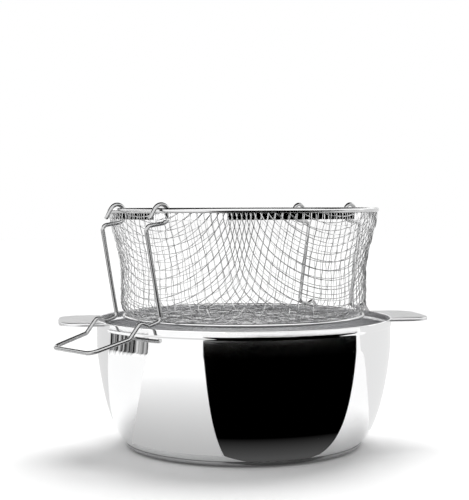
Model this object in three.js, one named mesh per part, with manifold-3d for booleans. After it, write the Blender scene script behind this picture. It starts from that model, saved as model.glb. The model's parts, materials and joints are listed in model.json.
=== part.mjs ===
// Stovetop deep fryer: a polished stainless pot and a wire-mesh basket that stands raised
// on the pot's rim to drain, carried by two hooked wire handles.
// Millimetres and degrees. Origin at the centre of the pot's underside, ears along X, +Z up.

import * as THREE from 'three';
import * as BufferGeometryUtils from 'three/addons/utils/BufferGeometryUtils.js';
import Module from 'manifold-3d';

// ---- Fits ----
const GAP = 0.3; // between pieces that touch
const HOOK_CLEARANCE = 0.55; // between the hooks and the basket's rim, so the handle swings

// ---- Pot ----
const RIM_RADIUS = 120; // outside of the wall below the lip
const POT_HEIGHT = 105;
const POT_WALL = 1.2;
const LIP_HEIGHT = 6.5;
const LIP_FLARE = 0.8;
const STRAIGHT_WALL = 12.8; // upright wall between the belly and the lip
const BELLY_REACH = 38.4; // how far the belly swells out beyond its foot
const BELLY_SIDE_POWER = 2.8;
const BELLY_FOOT_POWER = 1.38;

// ---- Layered base ----
const CAP_WALL = 0.6;
const CORE_THICKNESS = 3.6;
const CAP_EDGE_WIDTH = 10; // width of the rounded edge of the base cap
const CAP_LIP = 0.6; // upright end of that edge
const CORE_INSET = 2; // between the disc and the cap's upright end
const CORE_CHAMFER = 6;

// ---- Ears ----
const EAR_WIDTH = 72;
const EAR_REACH = 31; // beyond the wall
const EAR_THICKNESS = 3;
const EAR_CORNER = 17;
const EAR_BOW = 2; // how far the outer edge bows out
const EAR_EDGE = 0.7; // rounding of the sheet's edges

// ---- Basket ----
const BASKET_HEIGHT = 91; // floor to top of the rim
const BASKET_SINK = 1.3; // floor below the pot's rim when draining
const BASKET_RIM_CLEARANCE = 8; // between the basket's rim and the pot's wall
const BASKET_FLARE = 8.9; // rim wider than the upright wall
const BASKET_CORNER = 15;
const UPRIGHT_MESH = 40.3; // floor to the start of the flare
const MESH_THICKNESS = 1.6; // two crossing wires
const BEAD_DIAMETER = 4.2;
const BAND_HEIGHT = 4.6;
const BAND_THICKNESS = 0.8;
const BASE_RING_WIRE = 3;

// ---- Handles ----
const HANDLE_WIRE = 3.2;
const LEG_SPACING = 58;
const LOOP_SPACING = 52; // across the outer end of the loop
const HOOK_START = 31; // angle of the hook's open end round the rim
const HOOK_TAIL = 9; // straight open end
const LEG_STANDOFF = 14.4; // from the hinge axis out to the top of a leg
const LEG_TOP_SLOPE = 8; // fall of the wire from the hook out to the top of a leg
const NOTCH_DEPTH = 2.9; // hump outside the pot's rim above the notch
const HUMP_REACH = 7.6; // from the notch out to the hump
const LEG_FOOT_REACH = 11; // from the notch in to the foot of the leg
const ARM_DROP = 8.7; // from the notch down to the start of the loop
const ARM_REACH = 17.5; // from the notch out to the start of the loop
const LOOP_DROP = 17; // from the notch down to the end of the loop
const LOOP_REACH = 49.5; // from the notch out to the end of the loop
const TIGHT_BEND = 4;
const LOOP_BEND = 7;
const RIGHT_HANDLE_TURN = 6.8; // the right handle stands further from its ear than the left one

// ---- Smoothness ----
const ROUND_STEPS = 60; // facets round a turned piece
const BELLY_STEPS = 8;
const FLARE_STEPS = 5;
const CORNER_STEPS = 4;
const BEND_STEP = 22; // largest turn of a wire between two sections
const WIRE_SIDES = 8;

// ---- Levels and radii that follow ----
const coreBottom = CAP_WALL + GAP;
const shellBottom = coreBottom + CORE_THICKNESS + GAP;
const bellyTop = POT_HEIGHT - LIP_HEIGHT - STRAIGHT_WALL;
const bellyFootRadius = RIM_RADIUS - BELLY_REACH;
const lipRadius = RIM_RADIUS + LIP_FLARE;
const rimMiddleRadius = lipRadius - POT_WALL / 2;

const basketBottom = POT_HEIGHT - BASKET_SINK;
const basketTop = basketBottom + BASKET_HEIGHT;
const beadRadius = RIM_RADIUS - POT_WALL - BASKET_RIM_CLEARANCE - BEAD_DIAMETER / 2;
const beadLevel = basketTop - BEAD_DIAMETER / 2;
const meshTop = beadLevel - BEAD_DIAMETER / 2 - GAP;
const bandBottom = meshTop - BAND_HEIGHT;
const meshRimRadius = beadRadius + (MESH_THICKNESS + BAND_THICKNESS + GAP) / 2 - BAND_THICKNESS / 2;
const meshWallRadius = meshRimRadius - BASKET_FLARE;
const cornerCentreRadius = meshWallRadius - BASKET_CORNER;
const cornerCentreLevel = basketBottom + BASKET_CORNER;

const hingeLevel = (bandBottom + basketTop) / 2;
const hingeReach = Math.sqrt(beadRadius ** 2 - (LEG_SPACING / 2) ** 2);
const rimSectionReach = Math.hypot((basketTop - bandBottom) / 2, BEAD_DIAMETER / 2);
const hookRadius = rimSectionReach + HOOK_CLEARANCE + HANDLE_WIRE / 2;

// A handle can stand as near to an ear as lets its nearer leg's notch clear the ear's root.
const earRootRadius = lipRadius + GAP;
const earRootAngle = Math.asin(EAR_WIDTH / 2 / earRootRadius);
const legAngle = Math.asin(LEG_SPACING / 2 / rimMiddleRadius);
const clearOfEar = THREE.MathUtils.radToDeg(earRootAngle + legAngle);
const handleAzimuths = { left: 180 + clearOfEar, right: clearOfEar + RIGHT_HANDLE_TURN };

const wasm = await Module();
wasm.setup();

// ---- Helpers ----

// A closed outline turned round Z.
function turned(outline) {
  return new THREE.LatheGeometry(outline, ROUND_STEPS).rotateX(Math.PI / 2);
}

function leftNormal(from, to) {
  const along = to.clone().sub(from).normalize();
  return new THREE.Vector2(-along.y, along.x);
}

// The same line moved to its left, with mitred corners.
function offsetLine(points, distance) {
  const last = points.length - 1;
  return points.map((point, index) => {
    const before = index > 0 ? leftNormal(points[index - 1], point) : leftNormal(point, points[1]);
    const after = index < last ? leftNormal(point, points[index + 1]) : before;
    const mitre = before.clone().add(after).normalize();
    return point.clone().addScaledVector(mitre, distance / mitre.dot(before));
  });
}

// A wall of even thickness turned from its outer line, which starts on the axis.
function turnedWall(outerLine, thickness) {
  return turned([...outerLine, ...offsetLine(outerLine, thickness).reverse()]);
}

// A wire ring of round section.
function wireRing(radius, level, diameter) {
  const section = new THREE.EllipseCurve(radius, level, diameter / 2, diameter / 2, 0, 2 * Math.PI);
  return turned(section.getPoints(WIRE_SIDES));
}

// A wire through the given points, with a section at each of them.
class BentWire extends THREE.Curve {
  constructor(points) {
    super();
    this.points = points;
  }

  getUtoTmapping(u) {
    return u;
  }

  getPoint(t, target = new THREE.Vector3()) {
    const place = t * (this.points.length - 1);
    const index = Math.min(Math.floor(place), this.points.length - 2);
    return target.lerpVectors(this.points[index], this.points[index + 1], place - index);
  }

  getTangent(t, target = new THREE.Vector3()) {
    const index = Math.round(t * (this.points.length - 1));
    const middle = this.points[index];
    const before = this.points[Math.max(index - 1, 0)].clone().sub(middle).normalize();
    const after = this.points[Math.min(index + 1, this.points.length - 1)].clone().sub(middle).normalize();
    return target.copy(after).sub(before).normalize();
  }
}

function wire(points, diameter) {
  const section = new THREE.Shape();
  section.absarc(0, 0, diameter / 2, 0, 2 * Math.PI);
  return new THREE.ExtrudeGeometry(section, {
    curveSegments: WIRE_SIDES / 2,
    steps: points.length - 1,
    extrudePath: new BentWire(points),
  });
}

// A polyline with each inner corner that states a bend rounded to that radius.
function bent(corners) {
  const points = [];
  corners.forEach(({ point, bend }, index) => {
    if (!bend) {
      points.push(point);
      return;
    }
    const toBefore = corners[index - 1].point.clone().sub(point).normalize();
    const toAfter = corners[index + 1].point.clone().sub(point).normalize();
    const turn = Math.PI - toBefore.angleTo(toAfter);
    const start = point.clone().addScaledVector(toBefore, bend * Math.tan(turn / 2));
    const inward = toBefore.clone().add(toAfter).normalize();
    const centre = point.clone().addScaledVector(inward, bend / Math.cos(turn / 2));
    const axis = new THREE.Vector3().crossVectors(toAfter, toBefore).normalize();
    const steps = Math.ceil(THREE.MathUtils.radToDeg(turn) / BEND_STEP);
    for (let step = 0; step <= steps; step += 1) {
      const arm = start.clone().sub(centre).applyAxisAngle(axis, (turn * step) / steps);
      points.push(arm.add(centre));
    }
  });
  return points;
}

// Geometry to a solid that can be cut, and back.
function toSolid(geometry) {
  const bare = geometry.clone();
  bare.deleteAttribute('normal');
  bare.deleteAttribute('uv');
  const merged = BufferGeometryUtils.mergeVertices(bare);
  const corners = Array.from(merged.index.array);
  const triVerts = [];
  for (let first = 0; first < corners.length; first += 3) {
    const triangle = corners.slice(first, first + 3);
    if (new Set(triangle).size === 3) triVerts.push(...triangle);
  }
  const vertProperties = merged.attributes.position.array;
  return new wasm.Manifold(new wasm.Mesh({ numProp: 3, vertProperties, triVerts: new Uint32Array(triVerts) }));
}

function toGeometry(solid) {
  const { vertProperties, triVerts } = solid.getMesh();
  const geometry = new THREE.BufferGeometry();
  geometry.setAttribute('position', new THREE.BufferAttribute(vertProperties, 3));
  geometry.setIndex(new THREE.BufferAttribute(triVerts, 1));
  geometry.computeVertexNormals();
  return geometry;
}

// ---- Pot ----

// The belly follows a quarter of a superellipse, from flat underside to upright wall.
function bellyPoint(angle) {
  const reach = BELLY_REACH * Math.sin(angle) ** (2 / BELLY_SIDE_POWER);
  const level = bellyTop * (1 - Math.cos(angle) ** (2 / BELLY_FOOT_POWER));
  return new THREE.Vector2(bellyFootRadius + reach, level);
}

const bellyStart = Math.acos((1 - shellBottom / bellyTop) ** (BELLY_FOOT_POWER / 2));
const shellFootRadius = bellyPoint(bellyStart).x;

function potShell() {
  const outerLine = [new THREE.Vector2(0, shellBottom)];
  for (let step = 0; step <= BELLY_STEPS; step += 1) {
    outerLine.push(bellyPoint(THREE.MathUtils.lerp(bellyStart, Math.PI / 2, step / BELLY_STEPS)));
  }
  outerLine.push(new THREE.Vector2(RIM_RADIUS, POT_HEIGHT - LIP_HEIGHT));
  outerLine.push(new THREE.Vector2(lipRadius, POT_HEIGHT - LIP_HEIGHT / 3));
  outerLine.push(new THREE.Vector2(lipRadius, POT_HEIGHT));
  return turnedWall(outerLine, POT_WALL);
}

// A shallow steel dish that closes the layered base, its edge rolled up to the shell.
function baseCap() {
  const rimLevel = shellBottom - GAP;
  const edgeLevel = rimLevel - CAP_LIP;
  const flatRadius = shellFootRadius - CAP_EDGE_WIDTH;
  const edge = new THREE.EllipseCurve(flatRadius, edgeLevel, CAP_EDGE_WIDTH, edgeLevel, -Math.PI / 2, 0);
  return turnedWall([
    new THREE.Vector2(0, 0),
    ...edge.getPoints(CORNER_STEPS),
    new THREE.Vector2(shellFootRadius, rimLevel),
  ], CAP_WALL);
}

// The heat-spreading disc between cap and shell.
function baseCore() {
  const radius = shellFootRadius - CAP_WALL - CORE_INSET;
  const top = coreBottom + CORE_THICKNESS;
  return turned([
    new THREE.Vector2(0, coreBottom),
    new THREE.Vector2(radius - CORE_CHAMFER, coreBottom),
    new THREE.Vector2(radius, top - CORE_THICKNESS / 4),
    new THREE.Vector2(radius, top),
    new THREE.Vector2(0, top),
  ]);
}

// A wide rounded tab level with the rim, its root hugging the lip.
function ear() {
  const halfWidth = EAR_WIDTH / 2;
  const tip = RIM_RADIUS + EAR_REACH - EAR_BOW;
  const outline = new THREE.Shape();
  outline.absarc(0, 0, earRootRadius, earRootAngle, -earRootAngle, true);
  outline.lineTo(tip - EAR_CORNER, -halfWidth);
  outline.quadraticCurveTo(tip, -halfWidth, tip, EAR_CORNER - halfWidth);
  outline.quadraticCurveTo(tip + 2 * EAR_BOW, 0, tip, halfWidth - EAR_CORNER);
  outline.quadraticCurveTo(tip, halfWidth, tip - EAR_CORNER, halfWidth);
  const plate = new THREE.ExtrudeGeometry(outline, {
    depth: EAR_THICKNESS - 2 * EAR_EDGE,
    bevelThickness: EAR_EDGE,
    bevelSize: EAR_EDGE,
    bevelOffset: -EAR_EDGE,
    bevelSegments: 1,
    curveSegments: 6,
  });
  return plate.translate(0, 0, POT_HEIGHT - EAR_THICKNESS + EAR_EDGE);
}

// ---- Basket ----

// The outer line of the drawn mesh: floor, rounded corner, upright wall and flare to the rim.
function meshOuterLine() {
  const corner = new THREE.EllipseCurve(
    cornerCentreRadius, cornerCentreLevel, BASKET_CORNER, BASKET_CORNER, -Math.PI / 2, 0);
  const flareStart = basketBottom + UPRIGHT_MESH;
  const flareHeight = bandBottom - flareStart;
  const flare = new THREE.CubicBezierCurve(
    new THREE.Vector2(meshWallRadius, flareStart),
    new THREE.Vector2(meshWallRadius + 0.1 * BASKET_FLARE, flareStart + flareHeight / 3),
    new THREE.Vector2(meshRimRadius - 0.25 * BASKET_FLARE, bandBottom - flareHeight / 4),
    new THREE.Vector2(meshRimRadius, bandBottom));
  return [
    new THREE.Vector2(0, basketBottom),
    ...corner.getPoints(CORNER_STEPS),
    ...flare.getPoints(FLARE_STEPS),
    new THREE.Vector2(meshRimRadius, meshTop),
  ];
}

// The cell under the band that a hook passes through.
function hookCell(azimuth, side) {
  const width = HANDLE_WIRE + 4 * GAP;
  const height = HANDLE_WIRE + 3 * GAP;
  const length = 6 * BEAD_DIAMETER;
  const cell = new THREE.BoxGeometry(length, width, height);
  cell.translate(hingeReach, (side * LEG_SPACING) / 2, hingeLevel - hookRadius);
  return toSolid(cell.rotateZ(THREE.MathUtils.degToRad(azimuth)));
}

function basketMesh() {
  let solid = toSolid(turnedWall(meshOuterLine(), MESH_THICKNESS));
  for (const azimuth of Object.values(handleAzimuths)) {
    solid = solid.subtract(hookCell(azimuth, -1)).subtract(hookCell(azimuth, 1));
  }
  return toGeometry(solid);
}

// The flat strip inside the top of the mesh, under the bead.
function rimBand() {
  const outer = meshRimRadius - MESH_THICKNESS - GAP;
  const inner = outer - BAND_THICKNESS;
  return turned([
    new THREE.Vector2(inner, bandBottom),
    new THREE.Vector2(outer, bandBottom),
    new THREE.Vector2(outer, meshTop),
    new THREE.Vector2(inner, meshTop),
    new THREE.Vector2(inner, bandBottom),
  ]);
}

// The heavier wire round the basket's lower corner.
const baseRingOffset = (BASKET_CORNER + GAP + BASE_RING_WIRE / 2) * Math.SQRT1_2;
const baseRingRadius = cornerCentreRadius + baseRingOffset;
const baseRingLevel = cornerCentreLevel - baseRingOffset;

// ---- Handles ----

// One leg, from the hook's open end to the outer corner of the loop.
function handleLeg(side) {
  const across = (side * LEG_SPACING) / 2;
  const at = (reach, level) => new THREE.Vector3(reach, across, level);
  const notchReach = Math.sqrt(rimMiddleRadius ** 2 - across ** 2);
  const notchLevel = POT_HEIGHT + GAP + HANDLE_WIRE / 2;
  const onHook = (degrees, tail = 0) => {
    const angle = THREE.MathUtils.degToRad(degrees);
    const reach = hookRadius * Math.cos(angle) + tail * Math.sin(angle);
    const level = hookRadius * Math.sin(angle) - tail * Math.cos(angle);
    return at(hingeReach + reach, hingeLevel + level);
  };
  const corners = [{ point: onHook(HOOK_START, HOOK_TAIL) }];
  const hookEnd = 270 - LEG_TOP_SLOPE;
  const hookSteps = Math.ceil((hookEnd - HOOK_START) / BEND_STEP);
  for (let step = 0; step <= hookSteps; step += 1) {
    corners.push({ point: onHook(THREE.MathUtils.lerp(HOOK_START, hookEnd, step / hookSteps)) });
  }
  const slope = THREE.MathUtils.degToRad(LEG_TOP_SLOPE);
  const legTop = hingeLevel - hookRadius / Math.cos(slope) - LEG_STANDOFF * Math.tan(slope);
  corners.push({ point: at(hingeReach + LEG_STANDOFF, legTop), bend: TIGHT_BEND });
  corners.push({ point: at(notchReach - LEG_FOOT_REACH, notchLevel + NOTCH_DEPTH), bend: TIGHT_BEND });
  corners.push({ point: at(notchReach, notchLevel), bend: TIGHT_BEND });
  corners.push({ point: at(notchReach + HUMP_REACH, notchLevel + NOTCH_DEPTH), bend: TIGHT_BEND });
  corners.push({ point: at(notchReach + ARM_REACH, notchLevel - ARM_DROP), bend: TIGHT_BEND });
  const loopCorner = new THREE.Vector3(
    notchReach + LOOP_REACH, (side * LOOP_SPACING) / 2, notchLevel - LOOP_DROP);
  corners.push({ point: loopCorner, bend: LOOP_BEND });
  return corners;
}

function basketHandle() {
  return wire(bent([...handleLeg(1), ...handleLeg(-1).reverse()]), HANDLE_WIRE);
}

// ---- Assembly ----

const finishes = {
  mirrorSteel: { color: 0xd9dadb, roughness: 0.06, metalness: 1 },
  satinSteel: { color: 0xc8c9ca, roughness: 0.35, metalness: 1 },
  baseSteel: { color: 0x9fa1a3, roughness: 0.3, metalness: 1 },
  aluminium: { color: 0xb9bcc0, roughness: 0.45, metalness: 1 },
  chromedWire: { color: 0xcfd1d4, roughness: 0.12, metalness: 1 },
  meshWire: { color: 0xb4b6b8, roughness: 0.25, metalness: 1 },
};

function piece(name, geometry, finish, azimuth = 0) {
  const mesh = new THREE.Mesh(geometry, new THREE.MeshStandardMaterial(finishes[finish]));
  mesh.name = name;
  mesh.rotation.z = THREE.MathUtils.degToRad(azimuth);
  return mesh;
}

const pot = new THREE.Group();
pot.add(piece('pot_shell', potShell(), 'mirrorSteel'));
pot.add(piece('base_cap', baseCap(), 'baseSteel'));
pot.add(piece('base_core', baseCore(), 'aluminium'));
pot.add(piece('right_ear', ear(), 'satinSteel'));
pot.add(piece('left_ear', ear(), 'satinSteel', 180));

const basket = new THREE.Group();
basket.add(piece('basket_mesh', basketMesh(), 'meshWire'));
basket.add(piece('rim_band', rimBand(), 'mirrorSteel'));
basket.add(piece('rim_bead', wireRing(beadRadius, beadLevel, BEAD_DIAMETER), 'chromedWire'));
basket.add(piece('base_ring', wireRing(baseRingRadius, baseRingLevel, BASE_RING_WIRE), 'chromedWire'));

const fryer = new THREE.Group();
fryer.add(pot, basket);
for (const [side, azimuth] of Object.entries(handleAzimuths)) {
  fryer.add(piece(`${side}_basket_handle`, basketHandle(), 'chromedWire', azimuth));
}

export default fryer;
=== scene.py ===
import json
import math

import bpy
import numpy as np
from mathutils import Matrix, Vector


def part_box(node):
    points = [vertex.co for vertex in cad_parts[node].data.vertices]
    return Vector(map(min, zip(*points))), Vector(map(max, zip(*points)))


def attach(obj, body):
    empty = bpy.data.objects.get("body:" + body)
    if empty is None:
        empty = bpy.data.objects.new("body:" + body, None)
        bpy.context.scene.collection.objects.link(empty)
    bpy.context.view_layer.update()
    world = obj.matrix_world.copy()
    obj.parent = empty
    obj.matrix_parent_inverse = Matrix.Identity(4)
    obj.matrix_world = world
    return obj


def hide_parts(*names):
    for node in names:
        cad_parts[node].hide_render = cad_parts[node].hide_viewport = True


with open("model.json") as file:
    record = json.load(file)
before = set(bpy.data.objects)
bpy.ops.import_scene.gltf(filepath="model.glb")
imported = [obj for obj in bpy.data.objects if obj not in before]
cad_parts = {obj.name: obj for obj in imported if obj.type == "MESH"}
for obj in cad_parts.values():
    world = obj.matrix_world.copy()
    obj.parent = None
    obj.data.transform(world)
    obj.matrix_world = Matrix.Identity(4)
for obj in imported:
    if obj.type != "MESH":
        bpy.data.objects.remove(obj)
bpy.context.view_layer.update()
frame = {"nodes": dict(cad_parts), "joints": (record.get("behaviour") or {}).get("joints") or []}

MM = 0.001

# ---- Sizes the frame doesn't give, in metres ----

POT_WALL = 1.2 * MM
LIP_HEIGHT = 6.5 * MM
LIP_FLARE = 0.8 * MM
STRAIGHT_WALL = 12.8 * MM
BELLY_REACH = 38.4 * MM
BELLY_SIDE_POWER = 2.8
BELLY_FOOT_POWER = 1.38
CAP_WALL = 0.6 * MM
CAP_EDGE_WIDTH = 10 * MM

EAR_ROOT = 110 * MM
EAR_CORNER = 17 * MM
EAR_BOW = 2 * MM
EAR_SHEET = 1.4 * MM
EAR_HEM = 1.8 * MM

BASKET_CORNER = 15 * MM
UPRIGHT_MESH = 40.3 * MM
MESH_WIRE = 0.65 * MM
MESH_PITCH = 7.1 * MM
MESH_AZIMUTH = 34.5
MESH_LOCK = 0.25
BEAD_DIAMETER = 4.2 * MM
BAND_THICKNESS = 0.8 * MM
BASE_RING_WIRE = 3 * MM

HANDLE_WIRE = 3.2 * MM
LEG_SPACING = 58 * MM
LOOP_SPACING = 52 * MM
HOOK_CLEARANCE = 0.55 * MM
HOOK_START = 31
HOOK_TAIL = 9 * MM
LEG_STANDOFF = 14.4 * MM
LEG_TOP_SLOPE = 8
NOTCH_DEPTH = 2.9 * MM
HUMP_REACH = 7.6 * MM
LEG_FOOT_REACH = 11 * MM
ARM_DROP = 8.7 * MM
ARM_REACH = 17.5 * MM
LOOP_DROP = 17 * MM
LOOP_REACH = 49.5 * MM
TIGHT_BEND = 4 * MM
LOOP_BEND = 7 * MM
RIM_GAP = 0.3 * MM


# ---- Camera ----

def set_up_camera():
    """A long lens a metre off, level with the basket's rim, with the left ear turned nearer."""
    distance = 0.9861
    height = 0.1951
    left_of_front = math.radians(9)
    look_down = math.radians(2.05)
    look_left = math.radians(0.42)
    tilt = math.radians(0.17)
    data = bpy.data.cameras.new("camera")
    data.lens = 86.4
    camera = bpy.data.objects.new("camera", data)
    bpy.context.scene.collection.objects.link(camera)
    place = Matrix.Translation((
        -distance * math.sin(left_of_front), -distance * math.cos(left_of_front), height))
    turn = Matrix.Rotation(look_left - left_of_front, 4, "Z")
    nod = Matrix.Rotation(math.pi / 2 - look_down, 4, "X")
    roll = Matrix.Rotation(-tilt, 4, "Z")
    camera.matrix_world = place @ turn @ nod @ roll
    bpy.context.scene.camera = camera


set_up_camera()


# ---- Materials ----

class Value:
    """A number that varies over a surface, so that shader maths reads as an expression."""

    def __init__(self, shader, socket):
        self.shader = shader
        self.socket = socket

    def __add__(self, other):
        return self.shader.maths("ADD", self, other)

    def __mul__(self, other):
        return self.shader.maths("MULTIPLY", self, other)

    def __pow__(self, other):
        return self.shader.maths("POWER", self, other)

    __radd__ = __add__
    __rmul__ = __mul__


class Shader:
    """A material under construction round one Principled BSDF."""

    def __init__(self, name, **constants):
        self.material = bpy.data.materials.new(name)
        self.material.use_nodes = True
        self.tree = self.material.node_tree
        self.surface = self.tree.nodes["Principled BSDF"]
        for socket, value in constants.items():
            self.surface.inputs[socket.replace("_", " ")].default_value = value
        self.coordinates = self.node("ShaderNodeTexCoord").outputs["Object"]

    def node(self, kind, settings=None, **sockets):
        made = self.tree.nodes.new(kind)
        for setting, value in (settings or {}).items():
            setattr(made, setting, value)
        for name, value in sockets.items():
            self.feed(made.inputs[name.replace("_", " ")], value)
        return made

    def feed(self, socket, value):
        if isinstance(value, Value):
            value = value.socket
        if isinstance(value, bpy.types.NodeSocket):
            self.tree.links.new(value, socket)
        else:
            socket.default_value = value

    def maths(self, operation, first, second):
        made = self.node("ShaderNodeMath", {"operation": operation})
        self.feed(made.inputs[0], first)
        self.feed(made.inputs[1], second)
        return Value(self, made.outputs[0])

    def set(self, **sockets):
        for name, value in sockets.items():
            self.feed(self.surface.inputs[name.replace("_", " ")], value)

    def stretched(self, x, y, z):
        """Object coordinates scaled along each axis, so that a pattern draws out into lines."""
        made = self.node("ShaderNodeMapping", Vector=self.coordinates, Scale=(x, y, z))
        return made.outputs["Vector"]

    def noise(self, scale, detail=3, vector=None):
        made = self.node("ShaderNodeTexNoise", Vector=vector or self.coordinates, Scale=scale, Detail=detail)
        return Value(self, made.outputs["Fac"])

    def rings(self, scale, distortion):
        """Turning marks: fine rings round the vertical axis."""
        made = self.node(
            "ShaderNodeTexWave", {"wave_type": "RINGS", "rings_direction": "Z"},
            Vector=self.coordinates, Scale=scale, Distortion=distortion, Detail=2)
        return Value(self, made.outputs["Fac"])

    def distance(self):
        """How far a place is from the pot's foot, for things that lie in the world's own frame."""
        made = self.node("ShaderNodeVectorMath", {"operation": "LENGTH"})
        self.feed(made.inputs[0], self.coordinates)
        return Value(self, made.outputs["Value"])

    def ramp(self, value, near, far, low, high):
        """A value stretched so that near becomes low and far becomes high, and held beyond them."""
        made = self.node(
            "ShaderNodeMapRange", Value=value, From_Min=near, From_Max=far, To_Min=low, To_Max=high)
        return Value(self, made.outputs["Result"])

    def between(self, share, low, high):
        """A colour between two, by a share that varies."""
        made = self.node("ShaderNodeMix", {"data_type": "RGBA"})
        self.feed(made.inputs["Factor"], share)
        self.feed(made.inputs[6], (*low, 1))
        self.feed(made.inputs[7], (*high, 1))
        return made.outputs[2]

    def relief(self, height, distance, strength=1.0):
        made = self.node("ShaderNodeBump", Height=height, Distance=distance, Strength=strength)
        self.set(Normal=made.outputs["Normal"])


def mirror_steel():
    """Buffed outside of the pot: sharp reflections, faint buffing haze and smudges."""
    steel = Shader("mirror_steel", Metallic=1.0)
    smudges = steel.noise(26, 4)
    buffing = steel.noise(9, 5, steel.stretched(6, 6, 160))
    steel.set(Base_Color=steel.between(smudges, (0.86, 0.862, 0.866), (0.9, 0.901, 0.903)))
    steel.set(Roughness=0.022 + 0.03 * smudges ** 2 + 0.012 * buffing)
    steel.relief(steel.noise(7, 1) + 0.02 * buffing, 0.12 * MM, 0.5)
    return steel.material


def turned_steel(name="turned_steel", tone=0.9, roughness=0.2, depth=0.02):
    """Inside of the pot and underside of the base: fine turning rings."""
    steel = Shader(name, Metallic=1.0)
    rings = steel.rings(420, 0.6)
    smudges = steel.noise(18, 4)
    low = (tone * 0.94, tone * 0.945, tone * 0.955)
    steel.set(Base_Color=steel.between(smudges, low, (tone, tone, tone * 1.01)))
    steel.set(Roughness=roughness + 0.06 * smudges + 0.05 * rings)
    steel.relief(rings, depth * MM, 0.6)
    return steel.material


def satin_steel():
    """Ears: fine grain along the ear, a little handling shine."""
    steel = Shader("satin_steel", Metallic=1.0)
    grain = steel.noise(22, 6, steel.stretched(2, 90, 40))
    handling = steel.noise(14, 3)
    steel.set(Base_Color=steel.between(handling, (0.72, 0.722, 0.726), (0.79, 0.79, 0.792)))
    steel.set(Roughness=0.26 + 0.1 * grain + 0.07 * handling)
    steel.relief(grain, 0.02 * MM, 0.5)
    return steel.material


def bright_wire(name="bright_wire", tone=0.46, roughness=0.09):
    """Drawn wire: long draw marks under a bright finish."""
    wire = Shader(name, Metallic=1.0)
    marks = wire.noise(420, 3)
    patches = wire.noise(40, 2)
    low = (tone * 0.88, tone * 0.885, tone * 0.89)
    wire.set(Base_Color=wire.between(patches, low, (tone, tone, tone)))
    wire.set(Roughness=roughness + 0.08 * marks + 0.04 * patches)
    wire.relief(marks, 0.015 * MM, 0.6)
    return wire.material


def core_aluminium():
    """Hidden heat-spreading disc."""
    disc = Shader("core_aluminium", Metallic=1.0)
    rolling = disc.noise(30, 5, disc.stretched(1, 60, 1))
    disc.set(Base_Color=disc.between(rolling, (0.66, 0.67, 0.69), (0.74, 0.75, 0.77)))
    disc.set(Roughness=0.38 + 0.12 * rolling)
    disc.relief(rolling, 0.03 * MM, 0.5)
    return disc.material


MIRROR_STEEL = mirror_steel()
INNER_STEEL = turned_steel(tone=0.8)
BASE_STEEL = turned_steel("base_steel", 0.5, 0.24, 0.04)
SATIN_STEEL = satin_steel()
# The same drawn steel in three tones, set by how each part reads under this light, so light and shade are
# painted into them: the handle's copy is darkened to 0.46 as painted shade, standing in for the dark
# reflections along its wire; the rim's and the mesh's copies are lightened to 0.7 and 0.72.
SHADED_HANDLE_WIRE = bright_wire()
RIM_WIRE = bright_wire("rim_wire", 0.7, 0.1)
MESH_METAL = bright_wire("mesh_wire", 0.72, 0.2)
CORE_ALUMINIUM = core_aluminium()


# ---- Modelling ----

def ready_object():
    """The active object, smooth to the eye where its faces meet at a shallow angle."""
    bpy.ops.object.mode_set(mode="OBJECT")
    bpy.ops.object.shade_smooth_by_angle(angle=math.radians(40))
    return bpy.context.active_object


def deselect():
    bpy.ops.object.select_all(action="DESELECT")


def turned(name, profile, steps=144):
    """A profile of (radius, height) points drawn from one vertex and spun round the upright axis."""
    deselect()
    bpy.ops.mesh.primitive_plane_add(size=1 * MM)
    bpy.context.active_object.name = name
    bpy.ops.object.mode_set(mode="EDIT")
    bpy.ops.mesh.select_mode(type="VERT")
    bpy.ops.mesh.select_all(action="SELECT")
    bpy.ops.mesh.merge(type="CENTER")
    radius, height = profile[0]
    bpy.ops.transform.translate(value=(radius, 0, height))
    for next_radius, next_height in profile[1:]:
        step = (next_radius - radius, 0, next_height - height)
        bpy.ops.mesh.extrude_vertices_move(TRANSFORM_OT_translate={"value": step})
        radius, height = next_radius, next_height
    bpy.ops.mesh.select_all(action="SELECT")
    bpy.ops.mesh.spin(steps=steps, angle=2 * math.pi, center=(0, 0, 0), axis=(0, 0, 1))
    bpy.ops.mesh.select_all(action="SELECT")
    bpy.ops.mesh.remove_doubles(threshold=0.001 * MM)
    bpy.ops.mesh.normals_make_consistent(inside=False)
    return ready_object()


def arc(centre, radius_x, radius_z, start, end, steps):
    """Points on an upright ellipse, from one angle in degrees to another."""
    points = []
    for step in range(steps + 1):
        angle = math.radians(start + (end - start) * step / steps)
        points.append((centre[0] + radius_x * math.cos(angle), centre[1] + radius_z * math.sin(angle)))
    return points


def offset_line(points, distance):
    """The same line moved to its left, with mitred corners."""
    def left(start, end):
        along = (Vector(end) - Vector(start)).normalized()
        return Vector((-along.y, along.x))

    moved = []
    last = len(points) - 1
    for index, point in enumerate(points):
        before = left(points[index - 1], point) if index else left(point, points[1])
        after = left(point, points[index + 1]) if index < last else before
        mitre = (before + after).normalized()
        moved.append(tuple(Vector(point) + mitre * (distance / mitre.dot(before))))
    return moved


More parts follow.
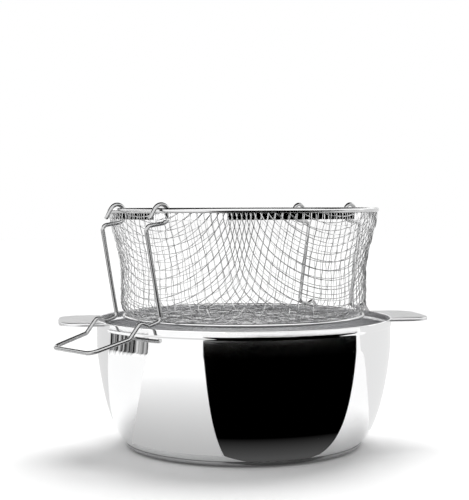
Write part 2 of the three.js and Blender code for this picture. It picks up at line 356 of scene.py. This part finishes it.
def bent_wire(name, corners, diameter, sides=16):
    """A wire bent round its corners: straights are extruded, bends are spun about their centre."""
    point, along = corners[0][0], (corners[1][0] - corners[0][0]).normalized()
    deselect()
    bpy.ops.mesh.primitive_circle_add(
        vertices=sides, radius=diameter / 2, fill_type="NOTHING",
        location=point, rotation=along.to_track_quat("Z", "Y").to_euler())
    bpy.context.active_object.name = name
    bpy.ops.object.transform_apply(location=True, rotation=True, scale=True)
    bpy.ops.object.mode_set(mode="EDIT")
    bpy.ops.mesh.select_mode(type="EDGE")
    bpy.ops.mesh.select_all(action="SELECT")
    for index in range(1, len(corners)):
        corner, bend = corners[index]
        if index == len(corners) - 1 or not bend:
            bpy.ops.mesh.extrude_edges_move(TRANSFORM_OT_translate={"value": corner - point})
            point = corner
            continue
        onward = (corners[index + 1][0] - corner).normalized()
        turn = along.angle(onward)
        trim = bend * math.tan(turn / 2)
        bpy.ops.mesh.extrude_edges_move(TRANSFORM_OT_translate={"value": corner - along * trim - point})
        axis = along.cross(onward).normalized()
        centre = corner - along * trim + axis.cross(along) * bend
        steps = max(2, math.ceil(math.degrees(turn) / 10))
        bpy.ops.mesh.spin(steps=steps, angle=turn, center=centre, axis=-axis)
        point = corner + onward * trim
        along = onward
    bpy.ops.mesh.select_all(action="SELECT")
    bpy.ops.mesh.remove_doubles(threshold=0.001 * MM)
    bpy.ops.mesh.fill_holes(sides=0)
    bpy.ops.mesh.normals_make_consistent(inside=False)
    select_faces(bpy.context.active_object, lambda face: len(face.vertices) == sides)
    bpy.ops.mesh.bevel(affect="EDGES", offset=diameter * 0.3, segments=3, profile=0.5)
    return ready_object()


def strands(name, lines, diameter):
    """Round wires along lines of points, as one mesh."""
    curve = bpy.data.curves.new(name, "CURVE")
    curve.dimensions = "3D"
    curve.bevel_depth = diameter / 2
    curve.bevel_resolution = 1
    curve.use_fill_caps = True
    for line in lines:
        spline = curve.splines.new("POLY")
        spline.points.add(len(line) - 1)
        for target, place in zip(spline.points, line):
            target.co = (*place, 1)
    made = bpy.data.objects.new(name, curve)
    bpy.context.scene.collection.objects.link(made)
    deselect()
    made.select_set(True)
    bpy.context.view_layer.objects.active = made
    bpy.ops.object.convert(target="MESH")
    return ready_object()


def dress(piece, body, slot, *materials):
    """Gives a finished piece its materials and its CAD body. Its slot argument is not used."""
    piece.data.materials.clear()
    for material in materials:
        piece.data.materials.append(material)
    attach(piece, body)
    return piece


# ---- Pot ----

shell_low, shell_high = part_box("pot_shell")
cap_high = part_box("base_cap")[1]
RIM_LEVEL = shell_high.z
LIP_RADIUS = shell_high.x
RIM_RADIUS = LIP_RADIUS - LIP_FLARE
SHELL_BOTTOM = shell_low.z
BELLY_TOP = RIM_LEVEL - LIP_HEIGHT - STRAIGHT_WALL


def belly_point(angle):
    """The belly is a quarter of a superellipse, from flat underside to upright wall."""
    reach = BELLY_REACH * math.sin(angle) ** (2 / BELLY_SIDE_POWER)
    level = BELLY_TOP * (1 - max(math.cos(angle), 0) ** (2 / BELLY_FOOT_POWER))
    return (RIM_RADIUS - BELLY_REACH + reach, level)


def pot_outer_line():
    start = math.acos((1 - SHELL_BOTTOM / BELLY_TOP) ** (BELLY_FOOT_POWER / 2))
    steps = 34
    line = [(0, SHELL_BOTTOM)]
    for step in range(steps + 1):
        line.append(belly_point(start + (math.pi / 2 - start) * step / steps))
    lip_foot = RIM_LEVEL - LIP_HEIGHT
    line.append((RIM_RADIUS, BELLY_TOP + 1 * MM))
    line.append((RIM_RADIUS, lip_foot - 0.5 * MM))
    return line


def make_pot():
    outer = pot_outer_line()
    inner = offset_line(outer, POT_WALL)
    lip_foot = RIM_LEVEL - LIP_HEIGHT
    edge = POT_WALL / 2
    outer_lip = [
        (RIM_RADIUS, lip_foot),
        (RIM_RADIUS + 0.2 * MM, lip_foot + 0.4 * MM),
        (RIM_RADIUS + 0.6 * MM, lip_foot + 0.9 * MM),
        (LIP_RADIUS - 0.05 * MM, lip_foot + 1.4 * MM),
        (LIP_RADIUS, lip_foot + 1.8 * MM),
        (LIP_RADIUS, lip_foot + 2.1 * MM),
        (LIP_RADIUS, RIM_LEVEL - edge - 0.3 * MM),
        (LIP_RADIUS, RIM_LEVEL - edge),
    ]
    rim = arc((LIP_RADIUS - edge, RIM_LEVEL - edge), edge, edge, 20, 160, 7)
    inner_lip = [(radius - POT_WALL, level) for radius, level in reversed(outer_lip)]
    profile = outer + outer_lip + rim + inner_lip + list(reversed(inner))
    pot = turned("pot", profile, 180)
    dress(pot, "pot", "mirror_steel", MIRROR_STEEL, INNER_STEEL)
    for face in pot.data.polygons:
        outward = Vector((face.center.x, face.center.y, 0)).normalized().dot(face.normal)
        inside = outward < -0.2 or (face.normal.z > 0.5 and face.center.z < RIM_LEVEL / 2)
        face.material_index = 1 if inside else 0
    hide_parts("pot_shell")


def make_base_cap():
    upright_edge = 0.6 * MM
    edge_level = cap_high.z - upright_edge
    flat = cap_high.x - CAP_EDGE_WIDTH
    outer = [(0, 0), (flat * 0.5, 0)]
    outer += arc((flat, edge_level), CAP_EDGE_WIDTH, edge_level, -90, 0, 10)
    outer.append((cap_high.x, cap_high.z))
    cap = turned("base_dish", outer + list(reversed(offset_line(outer, CAP_WALL))))
    dress(cap, "pot", "base_steel", BASE_STEEL)
    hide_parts("base_cap")


def draw_ear_outline(ear, tip, half_width):
    """From a rectangle to the ear's outline: outer corners rounded, tip bowed, root on the lip."""
    at_root = EAR_ROOT + 1 * MM
    select_points(ear, lambda place: place.x > at_root)
    bpy.ops.mesh.bevel(affect="VERTICES", offset=EAR_CORNER, segments=10, profile=0.5)
    select_points(ear, lambda place: place.x < at_root)
    bpy.ops.mesh.subdivide(number_cuts=24)
    bpy.ops.mesh.select_all(action="DESELECT")
    select_points(ear, lambda place: place.x > tip - 0.1 * MM)
    bpy.ops.mesh.subdivide(number_cuts=8)
    bpy.ops.object.mode_set(mode="OBJECT")
    lip = LIP_RADIUS - 0.25 * MM
    corner_start = tip - EAR_CORNER
    for vertex in ear.data.vertices:
        place = vertex.co
        if place.x < at_root:
            place.x = math.sqrt(lip ** 2 - place.y ** 2)
        elif place.x > corner_start:
            bow = EAR_BOW * (1 - (place.y / half_width) ** 2)
            place.x += bow * (place.x - corner_start) / EAR_CORNER


def thicken_ear(ear, low, high):
    """From the outline to sheet metal: a turned-down hem under it, and soft edges."""
    thickness = high - low
    bpy.ops.object.mode_set(mode="EDIT")
    bpy.ops.mesh.select_all(action="SELECT")
    bpy.ops.mesh.extrude_region_move(TRANSFORM_OT_translate={"value": (0, 0, -thickness)})
    bpy.ops.mesh.select_all(action="SELECT")
    bpy.ops.mesh.normals_make_consistent(inside=False)
    select_faces(ear, lambda face: face.normal.z < -0.9)
    bpy.ops.mesh.inset(thickness=EAR_HEM, depth=0)
    bpy.ops.transform.translate(value=(0, 0, thickness - EAR_SHEET))
    select_edges(ear, lambda ends: all(place.z > high - 0.1 * MM for place in ends))
    bpy.ops.mesh.bevel(affect="EDGES", offset=1.1 * MM, segments=4, profile=0.5)
    select_edges(ear, lambda ends: all(place.z < low + 0.1 * MM for place in ends))
    bpy.ops.mesh.bevel(affect="EDGES", offset=0.45 * MM, segments=2, profile=0.5)


def make_ear(side):
    """A sheet tab, drawn from a plane on the right and mirrored for the left."""
    node = "right_ear" if side > 0 else "left_ear"
    low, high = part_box(node)
    tip = max(abs(low.x), abs(high.x)) - EAR_BOW
    half_width = high.y
    deselect()
    bpy.ops.mesh.primitive_plane_add(size=1)
    ear = bpy.context.active_object
    ear.name = "ear_right" if side > 0 else "ear_left"
    ear.dimensions = (tip - EAR_ROOT, 2 * half_width, 0)
    ear.location = ((tip + EAR_ROOT) / 2, 0, high.z)
    bpy.ops.object.transform_apply(location=True, rotation=True, scale=True)
    draw_ear_outline(ear, tip, half_width)
    thicken_ear(ear, low.z, high.z)
    if side < 0:
        bpy.ops.mesh.select_all(action="SELECT")
        bpy.ops.transform.mirror(constraint_axis=(True, False, False), center_override=(0, 0, 0))
        bpy.ops.mesh.normals_make_consistent(inside=False)
    ear = ready_object()
    dress(ear, "pot", "satin_steel", SATIN_STEEL)
    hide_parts(node)


def select_points(piece, wanted):
    """In edit mode with only the vertices at wanted places selected."""
    bpy.ops.object.mode_set(mode="EDIT")
    bpy.ops.mesh.select_mode(type="VERT")
    bpy.ops.mesh.select_all(action="DESELECT")
    bpy.ops.object.mode_set(mode="OBJECT")
    for vertex in piece.data.vertices:
        vertex.select = wanted(vertex.co)
    bpy.ops.object.mode_set(mode="EDIT")


def select_edges(piece, wanted):
    """In edit mode with only the edges whose two ends are wanted selected."""
    bpy.ops.object.mode_set(mode="EDIT")
    bpy.ops.mesh.select_mode(type="EDGE")
    bpy.ops.mesh.select_all(action="DESELECT")
    bpy.ops.object.mode_set(mode="OBJECT")
    vertices = piece.data.vertices
    for edge in piece.data.edges:
        edge.select = wanted([vertices[end].co for end in edge.vertices])
    bpy.ops.object.mode_set(mode="EDIT")


def select_faces(piece, wanted):
    """In edit mode with only the wanted faces selected."""
    bpy.ops.object.mode_set(mode="EDIT")
    bpy.ops.mesh.select_mode(type="FACE")
    bpy.ops.mesh.select_all(action="DESELECT")
    bpy.ops.object.mode_set(mode="OBJECT")
    for face in piece.data.polygons:
        face.select = wanted(face)
    bpy.ops.object.mode_set(mode="EDIT")


# ---- Basket ----

mesh_low, mesh_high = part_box("basket_mesh")
band_low, band_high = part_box("rim_band")
bead_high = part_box("rim_bead")[1]
MESH_RIM_RADIUS = mesh_high.x
BASKET_FLARE = 8.9 * MM
MESH_WALL_RADIUS = MESH_RIM_RADIUS - BASKET_FLARE
CORNER_CENTRE = (MESH_WALL_RADIUS - BASKET_CORNER, mesh_low.z + BASKET_CORNER)


def mesh_line(inset, floor_steps=12):
    """The drawn mesh from axis to rim, moved in from its outer face."""
    radius = BASKET_CORNER - inset
    line = [(CORNER_CENTRE[0] * step / floor_steps, mesh_low.z + inset) for step in range(floor_steps)]
    line += arc(CORNER_CENTRE, radius, radius, -90, 0, 16)
    start = mesh_low.z + UPRIGHT_MESH
    height = band_low.z - start
    low = Vector((MESH_WALL_RADIUS, start))
    low_pull = low + Vector((0.1 * BASKET_FLARE, height / 3))
    high = Vector((MESH_RIM_RADIUS, band_low.z))
    high_pull = high - Vector((0.25 * BASKET_FLARE, height / 4))
    for step in range(25):
        t = step / 24
        place = (low * (1 - t) ** 3 + low_pull * 3 * t * (1 - t) ** 2
                 + high_pull * 3 * t ** 2 * (1 - t) + high * t ** 3)
        line.append((place.x - inset, place.y))
    line.append((MESH_RIM_RADIUS - inset, mesh_high.z + 0.5 * MM))
    return line


class DrawnCloth:
    """Square-woven cloth drawn into a cup, as a net whose wires keep their spacing.

    a and b count along the two sets of wires from the middle of the floor. On the floor the net is
    flat. On the wall its rows rise away from the middle of each quarter, and near the diagonals the
    two sets close up into narrow diamonds.
    """

    def __init__(self):
        line = np.array(mesh_line(MESH_WIRE))
        self.spread = MESH_WALL_RADIUS - MESH_WIRE
        lengths = np.concatenate([[0], np.cumsum(np.hypot(*np.diff(line, axis=0).T))])
        corner_arc = math.pi / 2 * (BASKET_CORNER - MESH_WIRE)
        corner_flat = 2 * (BASKET_CORNER - MESH_WIRE)
        floor = CORNER_CENTRE[0]
        ease = np.clip((lengths - floor) / corner_arc, 0, 1)
        self.drawn = lengths + ease * (corner_flat - corner_arc)
        self.line = line
        across = np.gradient(line, axis=0)
        across /= np.hypot(*across.T)[:, None]
        self.normal = np.stack([across[:, 1], -across[:, 0]], axis=1)
        self.top = self.drawn[-1]

    def rise(self, t):
        t = abs(t)
        return t * t / (2 * self.spread) if t < self.spread else t - self.spread / 2

    def reach_at(self, rise):
        if rise <= 0:
            return 0
        return math.sqrt(2 * self.spread * rise) if rise < self.spread / 2 else rise + self.spread / 2

    def fan(self, t):
        spread = self.spread
        if t >= spread:
            return math.pi / 4 * spread + MESH_LOCK * (t - spread)
        return (t * math.sqrt(1 - (t / spread) ** 2) + spread * math.asin(t / spread)) / 2

    def place(self, a, b):
        """How far out along the cup a crossing lies, and its azimuth."""
        reach = math.hypot(a, b)
        if reach < self.spread:
            return reach, math.atan2(b, a)
        out = self.spread / 2 + self.rise(a) + self.rise(b)
        long, short = max(abs(a), abs(b)), min(abs(a), abs(b))
        if long < self.spread:
            azimuth = math.pi / 4 + (self.fan(short) - self.fan(long)) / self.spread
        else:
            azimuth = math.pi / 4 * self.fan(short) / self.fan(long)
        if abs(b) > abs(a):
            azimuth = math.pi / 2 - azimuth
        if a < 0:
            azimuth = math.pi - azimuth
        return out, math.copysign(azimuth, b)

    def point(self, a, b, lift):
        out, azimuth = self.place(a, b)
        azimuth += math.radians(MESH_AZIMUTH)
        radius = np.interp(out, self.drawn, self.line[:, 0])
        level = np.interp(out, self.drawn, self.line[:, 1])
        lean = np.interp(out, self.drawn, self.normal[:, 0])
        drop = np.interp(out, self.drawn, self.normal[:, 1])
        radius += lean * lift
        return Vector((radius * math.cos(azimuth), radius * math.sin(azimuth), level + drop * lift))

    def wire(self, fixed, crosswise):
        """One wire end to end, over and under the wires it crosses."""
        limit = self.reach_at(self.top - self.spread / 2 - self.rise(fixed))
        samples = math.floor(limit / (MESH_PITCH / 4))
        stops = [step * MESH_PITCH / 4 for step in range(-samples, samples + 1)]
        if limit - stops[-1] > 0.3 * MM:
            stops = [-limit] + stops + [limit]
        row = round(fixed / MESH_PITCH)
        points = []
        for stop in stops:
            swing = math.cos(math.pi * stop / MESH_PITCH) * (-1) ** row
            lift = MESH_WIRE / 2 * swing * (1 if crosswise else -1)
            a, b = (fixed, stop) if crosswise else (stop, fixed)
            points.append(self.point(a, b, lift))
        return points

    def wires(self):
        count = math.floor((self.top - 1 * MM) / MESH_PITCH)
        lines = []
        for row in range(-count, count + 1):
            for crosswise in (False, True):
                line = self.wire(row * MESH_PITCH, crosswise)
                if len(line) > 3:
                    lines.append(line)
        return lines


RIM_SECTION_REACH = math.hypot((bead_high.z - band_low.z) / 2, BEAD_DIAMETER / 2)
HOOK_RADIUS = RIM_SECTION_REACH + HOOK_CLEARANCE + HANDLE_WIRE / 2


class HandleFrame:
    """Where one handle hangs: its hinge, the direction it points in, and the direction across it."""

    def __init__(self, side):
        joint = next(joint for joint in frame["joints"] if joint["name"] == side + "_handle_swing")
        self.side = side
        self.hinge = Vector(joint["pos_m"])
        self.reach = self.hinge.xy.length
        self.outward = Vector((self.hinge.x, self.hinge.y, 0)).normalized()
        self.across = Vector((-self.outward.y, self.outward.x, 0))

    def at(self, reach, level, sideways):
        return self.outward * reach + self.across * sideways + Vector((0, 0, level))


HANDLES = [HandleFrame("left"), HandleFrame("right")]


def part_round(line, through, outward, opening, influence):
    """Bend one wire of the cloth to one side of a hook that passes through it.

    The wire clears the hook by at least the opening, and is left alone beyond the influence.
    """
    offsets = []
    for point in line:
        away = point - through
        offsets.append(away - outward * away.dot(outward))
    near = []
    for i, point in enumerate(line):
        if offsets[i].length < influence and point.dot(outward) > 0:
            near.append(i)
    if len(near) < 2:
        return
    along = (offsets[near[-1]] - offsets[near[0]]).normalized()
    sideways = outward.cross(along)
    closest = min(near, key=lambda i: offsets[i].length)
    if offsets[closest].dot(sideways) < 0:
        sideways = -sideways
    for i in near:
        reach = offsets[i].dot(along)
        wanted = opening + offsets[i].length * (influence - opening) / influence
        needed = math.sqrt(max(0, wanted ** 2 - reach ** 2))
        line[i] += sideways * max(0, needed - offsets[i].dot(sideways))


def push_aside(lines):
    """The cloth's wires part round each place where a hook passes through."""
    opening = HANDLE_WIRE / 2 + MESH_WIRE / 2 + 0.4 * MM
    influence = 6.5 * MM
    for handle in HANDLES:
        for side in (-1, 1):
            through = handle.at(handle.reach, handle.hinge.z - HOOK_RADIUS, side * LEG_SPACING / 2)
            for line in lines:
                part_round(line, through, handle.outward, opening, influence)


def make_cloth():
    lines = DrawnCloth().wires()
    push_aside(lines)
    cloth = strands("woven_cloth", lines, MESH_WIRE)
    dress(cloth, "basket", "mesh_wire", MESH_METAL)
    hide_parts("basket_mesh")


def make_band():
    """A flat strip with a softened lower edge, whose upper edge is closed into the bead."""
    inner, outer = band_high.x - BAND_THICKNESS, band_high.x
    low, high = band_low.z, band_high.z + 1 * MM
    soft = 0.2 * MM
    profile = [
        (inner, low + soft), (inner + soft, low), (outer - soft, low), (outer, low + soft),
        (outer, high), (inner, high), (inner, low + soft)]
    band = turned("band", profile)
    dress(band, "basket", "mirror_steel", MIRROR_STEEL)
    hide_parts("rim_band")


def make_ring(name, node, diameter):
    low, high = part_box(node)
    centre = (high.x - diameter / 2, (low.z + high.z) / 2)
    ring = turned(name, arc(centre, diameter / 2, diameter / 2, 0, 360, 16))
    dress(ring, "basket", "bright_wire", RIM_WIRE)
    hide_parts(node)


# ---- Handles ----

def leg_corners(handle, side):
    """Corners of one leg, from the hook's open end to the outer corner of the loop."""
    across = side * LEG_SPACING / 2
    notch_reach = math.sqrt((LIP_RADIUS - POT_WALL / 2) ** 2 - across ** 2)
    notch_level = RIM_LEVEL + RIM_GAP + HANDLE_WIRE / 2

    def at(reach, level, sideways=across):
        return handle.at(reach, level, sideways)

    def on_hook(degrees, tail=0.0, radius=HOOK_RADIUS):
        angle = math.radians(degrees)
        reach = radius * math.cos(angle) + tail * math.sin(angle)
        level = radius * math.sin(angle) - tail * math.cos(angle)
        return at(handle.reach + reach, handle.hinge.z + level)

    turns = 4
    sweep = (270 - LEG_TOP_SLOPE - HOOK_START) / turns
    outside = HOOK_RADIUS / math.cos(math.radians(sweep / 2))
    corners = [(on_hook(HOOK_START, HOOK_TAIL), 0)]
    for turn in range(turns):
        corners.append((on_hook(HOOK_START + sweep * (turn + 0.5), 0, outside), HOOK_RADIUS))
    slope = math.radians(LEG_TOP_SLOPE)
    leg_top = handle.hinge.z - HOOK_RADIUS / math.cos(slope) - LEG_STANDOFF * math.tan(slope)
    corners.append((at(handle.reach + LEG_STANDOFF, leg_top), TIGHT_BEND))
    corners.append((at(notch_reach - LEG_FOOT_REACH, notch_level + NOTCH_DEPTH), TIGHT_BEND))
    corners.append((at(notch_reach, notch_level), TIGHT_BEND))
    corners.append((at(notch_reach + HUMP_REACH, notch_level + NOTCH_DEPTH), TIGHT_BEND))
    corners.append((at(notch_reach + ARM_REACH, notch_level - ARM_DROP), TIGHT_BEND))
    corner = at(notch_reach + LOOP_REACH, notch_level - LOOP_DROP, side * LOOP_SPACING / 2)
    corners.append((corner, LOOP_BEND))
    return corners


def make_handle(handle):
    corners = leg_corners(handle, 1) + list(reversed(leg_corners(handle, -1)))
    wire = bent_wire(handle.side + "_hook_handle", corners, HANDLE_WIRE)
    dress(wire, handle.side + "_handle", "bright_wire", SHADED_HANDLE_WIRE)
    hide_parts(handle.side + "_basket_handle")


make_pot()
make_base_cap()
make_ear(1)
make_ear(-1)
make_cloth()
make_band()
make_ring("bead", "rim_bead", BEAD_DIAMETER)
make_ring("corner_ring", "base_ring", BASE_RING_WIRE)
for handle in HANDLES:
    make_handle(handle)

core = frame["nodes"]["base_core"]
core.data.materials.clear()
core.data.materials.append(CORE_ALUMINIUM)


# ---- Studio ----

CARD_LEVEL = 0.4 * MM

def matt(name, tone, glow=0.0):
    """A grey without any shine, which may glow evenly."""
    return Shader(
        name, Base_Color=(tone, tone, tone, 1), Roughness=0.9, Specular_IOR_Level=0.0,
        Emission_Color=(glow, glow, glow, 1), Emission_Strength=1.0)


# A black matt sheet that may glow evenly; here it paints reflections on cards and screens that only mirrored
# surfaces see.
def even_glow(name, glow=0.0):
    return matt(name, 0.0, glow).material


def graded_reflection_glow(name, near, far, low, high):
    """Painted reflection: glows by one amount near the pot and by another far from it, on cards that only
    mirrored surfaces see.
    """
    sheet = matt(name, 0.0)
    sheet.set(Emission_Color=sheet.ramp(sheet.distance(), near, far, low, high))
    return sheet.material


def streaked_reflection_glow(name):
    """Painted reflection: dark streaks, seen only in mirrored surfaces, that run away from the pot and fade
    out towards it.
    """
    sheet = matt(name, 0.0)
    around = sheet.node("ShaderNodeTexGradient", {"gradient_type": "RADIAL"}, Vector=sheet.coordinates)
    noise = sheet.node(
        "ShaderNodeTexNoise", {"noise_dimensions": "1D"},
        W=around.outputs["Fac"], Scale=90, Detail=3)
    streaks = sheet.ramp(Value(sheet, noise.outputs["Fac"]), 0.42, 0.8, 0, 1)
    sheet.set(Emission_Color=streaks + sheet.ramp(sheet.distance(), 0.5, 0.68, 1, 0))
    return sheet.material


def card(name, corners, material):
    """A flat card that only reflections see."""
    mesh = bpy.data.meshes.new(name)
    mesh.from_pydata(corners, [], [range(len(corners))])
    return reflected_only(name, mesh, material)


def on_floor(azimuth, distance):
    """A place just over the floor, at an azimuth in degrees and a distance from the pot's axis."""
    angle = math.radians(azimuth)
    return (distance * math.cos(angle), distance * math.sin(angle), CARD_LEVEL)


def floor_sector(name, material, start, end, inner, outer, inner_end=None):
    """A card on the floor between two azimuths and two distances from the pot's axis."""
    steps = 8
    corners = []
    for distance, first, last in ((inner, start, inner_end or end), (outer, end, start)):
        for step in range(steps + 1):
            corners.append(on_floor(first + (last - first) * step / steps, distance))
    return card(name, corners, material)


def dark_front_reflection_card():
    """The dark card in front of the pot: narrow at its foot and fanning out to both sides. It is a painted
    reflection: only mirrored surfaces see it, and it lays the black field across the pot's front.
    """
    steps = 12
    start, end = -127.5, -8.5
    near, far = 1.0, 1.05
    corners = [(-0.032, -0.098, CARD_LEVEL)]
    for step in range(steps + 1):
        widening = min(1, 3 * step / steps)
        corners.append(on_floor(start + (end - start) * step / steps, near + (far - near) * widening))
    corners.append((0.049, -0.086, CARD_LEVEL))
    return card("black_field_reflection", corners, graded_reflection_glow("black_field_reflection", 0.1, 0.128, 0.08, 0))


def screen(name, material, start, end, radius, low, high):
    """An upright curved screen round the pot that only reflections see."""
    steps = 12
    corners = []
    for step in range(steps + 1):
        angle = math.radians(start + (end - start) * step / steps)
        for level in (low, high):
            corners.append((radius * math.cos(angle), radius * math.sin(angle), level))
    faces = [(2 * step, 2 * step + 1, 2 * step + 3, 2 * step + 2) for step in range(steps)]
    mesh = bpy.data.meshes.new(name)
    mesh.from_pydata(corners, [], faces)
    return reflected_only(name, mesh, material)


def reflected_only(name, mesh, material):
    made = bpy.data.objects.new(name, mesh)
    bpy.context.scene.collection.objects.link(made)
    mesh.materials.append(material)
    made.visible_camera = False
    made.visible_diffuse = False
    made.visible_shadow = False
    made.visible_transmission = False
    return made


def set_up_studio():
    scene = bpy.context.scene
    scene.view_settings.view_transform = "Standard"
    scene.world = studio_light()
    soft_sun()

    deselect()
    bpy.ops.mesh.primitive_plane_add(size=12)
    floor = bpy.context.active_object
    floor.name = "floor"
    floor.data.materials.append(matt("floor_white", 0.96, 0.04).material)

    # Painted reflections: a black sheet material for cards and screens that only mirrored surfaces see,
    # giving the steel and wires dark reflections.
    dark = even_glow("dark_reflection_card")
    dark_front_reflection_card()
    # Painted reflection of a dark streaky patch, which only the pot's mirror shows.
    floor_sector("floor_streak_reflection", streaked_reflection_glow("streak_reflection_card"), 143, 189, inner=0.5, outer=1.05)
    # Painted reflection: a card brighter than the floor, glowing from 0.52 near the pot to 1.15 far off,
    # that only mirrored surfaces see.
    floor_sector(
        "floor_glow_reflection", graded_reflection_glow("floor_glow_reflection", 0.1, 0.3, 0.52, 1.15),
        191, 232.3, inner=0.103, outer=1.05, inner_end=251.5)
    # Painted reflections: evenly glowing grey cards that only mirrored surfaces see, so that the floor the
    # pot reflects on either side reads a little grey.
    floor_sector("left_reflection_sector", even_glow("left_reflection_card", 0.8), 92, 143, inner=0.12, outer=3)
    floor_sector("right_reflection_sector", even_glow("right_reflection_card", 0.88), -5, 88, inner=0.12, outer=3)
    # Painted reflections: curved screens and a ceiling that only mirrored surfaces see; the front, left and
    # ceiling ones are black.
    screen("front_screen", dark, -112, 8, radius=1.7, low=0.08, high=0.26)
    screen("left_screen", dark, 105, 182, radius=1.7, low=0.1, high=0.3)
    # Painted reflection: a glowing grey screen behind the pot that only mirrored surfaces see, greying what
    # the ears reflect.
    screen("back_screen", even_glow("grey_reflection_screen", 0.85), 20, 104, radius=3, low=0, high=0.9)
    card("ceiling", [(-2, -0.5, 1.5), (2, -0.5, 1.5), (2, 3, 1.5), (-2, 3, 1.5)], dark)


def studio_light():
    """White all round: plain to the eye, soft on matt surfaces, brighter where steel mirrors it."""
    world = bpy.data.worlds.new("studio")
    world.use_nodes = True
    tree = world.node_tree
    light = tree.nodes["Background"]
    light.inputs["Color"].default_value = (1, 1, 1, 1)
    path = tree.nodes.new("ShaderNodeLightPath")
    seen = light.outputs[0]
    for kind, strength in (("Is Diffuse Ray", 0.42), ("Is Glossy Ray", 1.5)):
        other = tree.nodes.new("ShaderNodeBackground")
        other.inputs["Color"].default_value = (1, 1, 1, 1)
        other.inputs["Strength"].default_value = strength
        mix = tree.nodes.new("ShaderNodeMixShader")
        tree.links.new(path.outputs[kind], mix.inputs[0])
        tree.links.new(seen, mix.inputs[1])
        tree.links.new(other.outputs[0], mix.inputs[2])
        seen = mix.outputs[0]
    tree.links.new(seen, tree.nodes["World Output"].inputs["Surface"])
    return world


def soft_sun():
    """Broad even light from high behind the pot and a little to the right."""
    lamp = bpy.data.lights.new("soft_sun", "SUN")
    lamp.angle = math.radians(38)
    lamp.energy = 2.4
    made = bpy.data.objects.new("soft_sun", lamp)
    made.location = (0.28, 0.7, 1.6)
    made.rotation_euler = (-made.location).to_track_quat("-Z", "Y").to_euler()
    made.visible_glossy = False
    bpy.context.scene.collection.objects.link(made)


set_up_studio()
